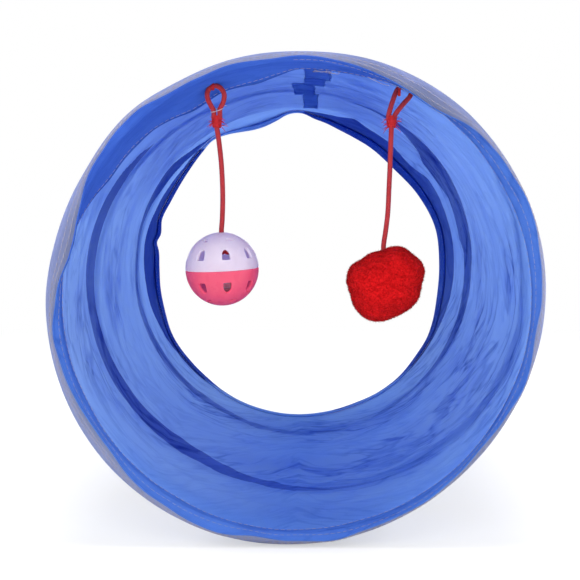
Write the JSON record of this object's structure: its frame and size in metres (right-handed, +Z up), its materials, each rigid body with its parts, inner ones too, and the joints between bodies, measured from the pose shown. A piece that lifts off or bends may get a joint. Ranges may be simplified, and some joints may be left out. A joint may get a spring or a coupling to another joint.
{
  "type": "collapsible cat tunnel",
  "caption": "Pop-up cloth play tunnel on a coiled spring wire with end hoops, with a rattle ball and a pom-pom hanging on elastic cords in its front opening.",
  "frame": {"origin": "middle of the tunnel on the surface it lies on", "axes": "+Y along the tunnel away from the opening that holds the toys, +Z up"},
  "size_m": [0.2514, 0.5, 0.2514],
  "materials": {
    "spring_steel": "drawn spring wire, dull",
    "blue_lining": "thin woven polyester, slight sheen",
    "blue_doubled": "the same cloth in two layers",
    "grey_cover": "thin grey woven polyester",
    "white_thread": "sewing thread",
    "red_cord": "braided round elastic cord",
    "red_felt": "matted felt",
    "white_plastic": "glossy, slightly see-through",
    "pink_plastic": "glossy",
    "bell_metal": "thin plated steel"
  },
  "bodies": {
    "front_end": {"spring_wire": "spring_steel", "front_wire_ferrule": "spring_steel", "lining": "blue_lining", "wire_casing": "blue_doubled", "lining_seam_strip": "blue_doubled", "cover_bay_1": "grey_cover", "front_hem": "blue_doubled", "front_hem_stitching": "white_thread", "front_edge_stitching": "white_thread", "ball_loop_tack": "white_thread", "pompom_loop_tack": "white_thread"},
    "bay_2": {"cover_bay_2": "grey_cover"},
    "bay_3": {"cover_bay_3": "grey_cover"},
    "bay_4": {"cover_bay_4": "grey_cover"},
    "bay_5": {"cover_bay_5": "grey_cover"},
    "bay_6": {"cover_bay_6": "grey_cover"},
    "bay_7": {"cover_bay_7": "grey_cover"},
    "rear_end": {"cover_bay_8": "grey_cover", "rear_hem": "blue_doubled", "rear_hem_stitching": "white_thread", "rear_edge_stitching": "white_thread", "rear_wire_ferrule": "spring_steel"},
    "ball_loop": {"ball_cord_loop": "red_cord", "ball_cord_binding": "red_cord"},
    "ball_string": {"ball_cord": "red_cord"},
    "ball_hanger": {"ball_cord_knot": "red_cord"},
    "ball": {"ball_upper_shell": "white_plastic", "ball_lower_shell": "pink_plastic"},
    "bell": {"bell_upper_cup": "bell_metal", "bell_lower_cup": "bell_metal"},
    "pellet": {"bell_pellet": "spring_steel"},
    "pompom_loop": {"pompom_cord_loop": "red_cord", "pompom_cord_binding": "red_cord"},
    "pompom_string": {"pompom_cord": "red_cord"},
    "pompom_hanger": {"pompom_cord_knot": "red_cord"},
    "pompom": {"pompom": "red_felt"}
  },
  "joints": [
    {"name": "collapse", "type": "slide", "parent": "front_end", "child": "rear_end", "axis": [0, -1, 0], "range_m": [0, 0.4375], "stiffness_N_per_m": 15, "springref_m": -0.15, "deforming": ["spring_wire", "lining", "wire_casing", "lining_seam_strip", "cover_bay_1", "cover_bay_2", "cover_bay_3", "cover_bay_4", "cover_bay_5", "cover_bay_6", "cover_bay_7", "cover_bay_8"]},
    {"name": "bay_2_slide", "type": "slide", "parent": "front_end", "child": "bay_2", "axis": [0, -1, 0], "range_m": [0, 0.0625]},
    {"name": "bay_3_slide", "type": "slide", "parent": "front_end", "child": "bay_3", "axis": [0, -1, 0], "range_m": [0, 0.125]},
    {"name": "bay_4_slide", "type": "slide", "parent": "front_end", "child": "bay_4", "axis": [0, -1, 0], "range_m": [0, 0.1875]},
    {"name": "bay_5_slide", "type": "slide", "parent": "front_end", "child": "bay_5", "axis": [0, -1, 0], "range_m": [0, 0.25]},
    {"name": "bay_6_slide", "type": "slide", "parent": "front_end", "child": "bay_6", "axis": [0, -1, 0], "range_m": [0, 0.3125]},
    {"name": "bay_7_slide", "type": "slide", "parent": "front_end", "child": "bay_7", "axis": [0, -1, 0], "range_m": [0, 0.375]},
    {"name": "ball_swing", "type": "hinge", "parent": "front_end", "child": "ball_loop", "pos_m": [-0.04, -0.2255, 0.23332], "axis": [1, 0, 0], "range_deg": [-60, 60]},
    {"name": "ball_sway", "type": "hinge", "parent": "ball_loop", "child": "ball_string", "pos_m": [-0.04075, -0.2255, 0.21262], "axis": [0, 1, 0], "range_deg": [-12, 25], "deforming": ["ball_cord"]},
    {"name": "ball_pull", "type": "slide", "parent": "ball_string", "child": "ball_hanger", "axis": [0, 0, -1], "range_m": [0, 0.04], "stiffness_N_per_m": 12, "springref_m": -0.03, "deforming": ["ball_cord"]},
    {"name": "ball_spin", "type": "hinge", "parent": "ball_hanger", "child": "ball", "pos_m": [-0.0388, -0.2255, 0.13972], "axis": [0, 0, 1], "continuous": true},
    {"name": "bell_roll", "type": "hinge", "parent": "ball", "child": "bell", "pos_m": [-0.0388, -0.2255, 0.13972], "axis": [0, 1, 0], "range_deg": [-65, 65]},
    {"name": "pellet_roll", "type": "hinge", "parent": "bell", "child": "pellet", "pos_m": [-0.0388, -0.2255, 0.13052], "axis": [1, 0, 0], "continuous": true},
    {"name": "pompom_swing", "type": "hinge", "parent": "front_end", "child": "pompom_loop", "pos_m": [0.054, -0.2255, 0.22892], "axis": [1, 0, 0], "range_deg": [-60, 60]},
    {"name": "pompom_sway", "type": "hinge", "parent": "pompom_loop", "child": "pompom_string", "pos_m": [0.0488, -0.2255, 0.21262], "axis": [0, 1, 0], "range_deg": [-25, 12], "deforming": ["pompom_cord"]},
    {"name": "pompom_pull", "type": "slide", "parent": "pompom_string", "child": "pompom_hanger", "axis": [0, 0, -1], "range_m": [0, 0.04], "stiffness_N_per_m": 12, "springref_m": -0.03, "deforming": ["pompom_cord"]},
    {"name": "pompom_twist", "type": "hinge", "parent": "pompom_hanger", "child": "pompom", "pos_m": [0.0458, -0.2255, 0.13242], "axis": [0, 0, 1], "range_deg": [-180, 180]}
  ],
  "couplings": [
    {"joint": "bay_2_slide", "follows": "collapse", "ratio": 0.14286},
    {"joint": "bay_3_slide", "follows": "collapse", "ratio": 0.28571},
    {"joint": "bay_4_slide", "follows": "collapse", "ratio": 0.42857},
    {"joint": "bay_5_slide", "follows": "collapse", "ratio": 0.57143},
    {"joint": "bay_6_slide", "follows": "collapse", "ratio": 0.71428},
    {"joint": "bay_7_slide", "follows": "collapse", "ratio": 0.85714}
  ]
}
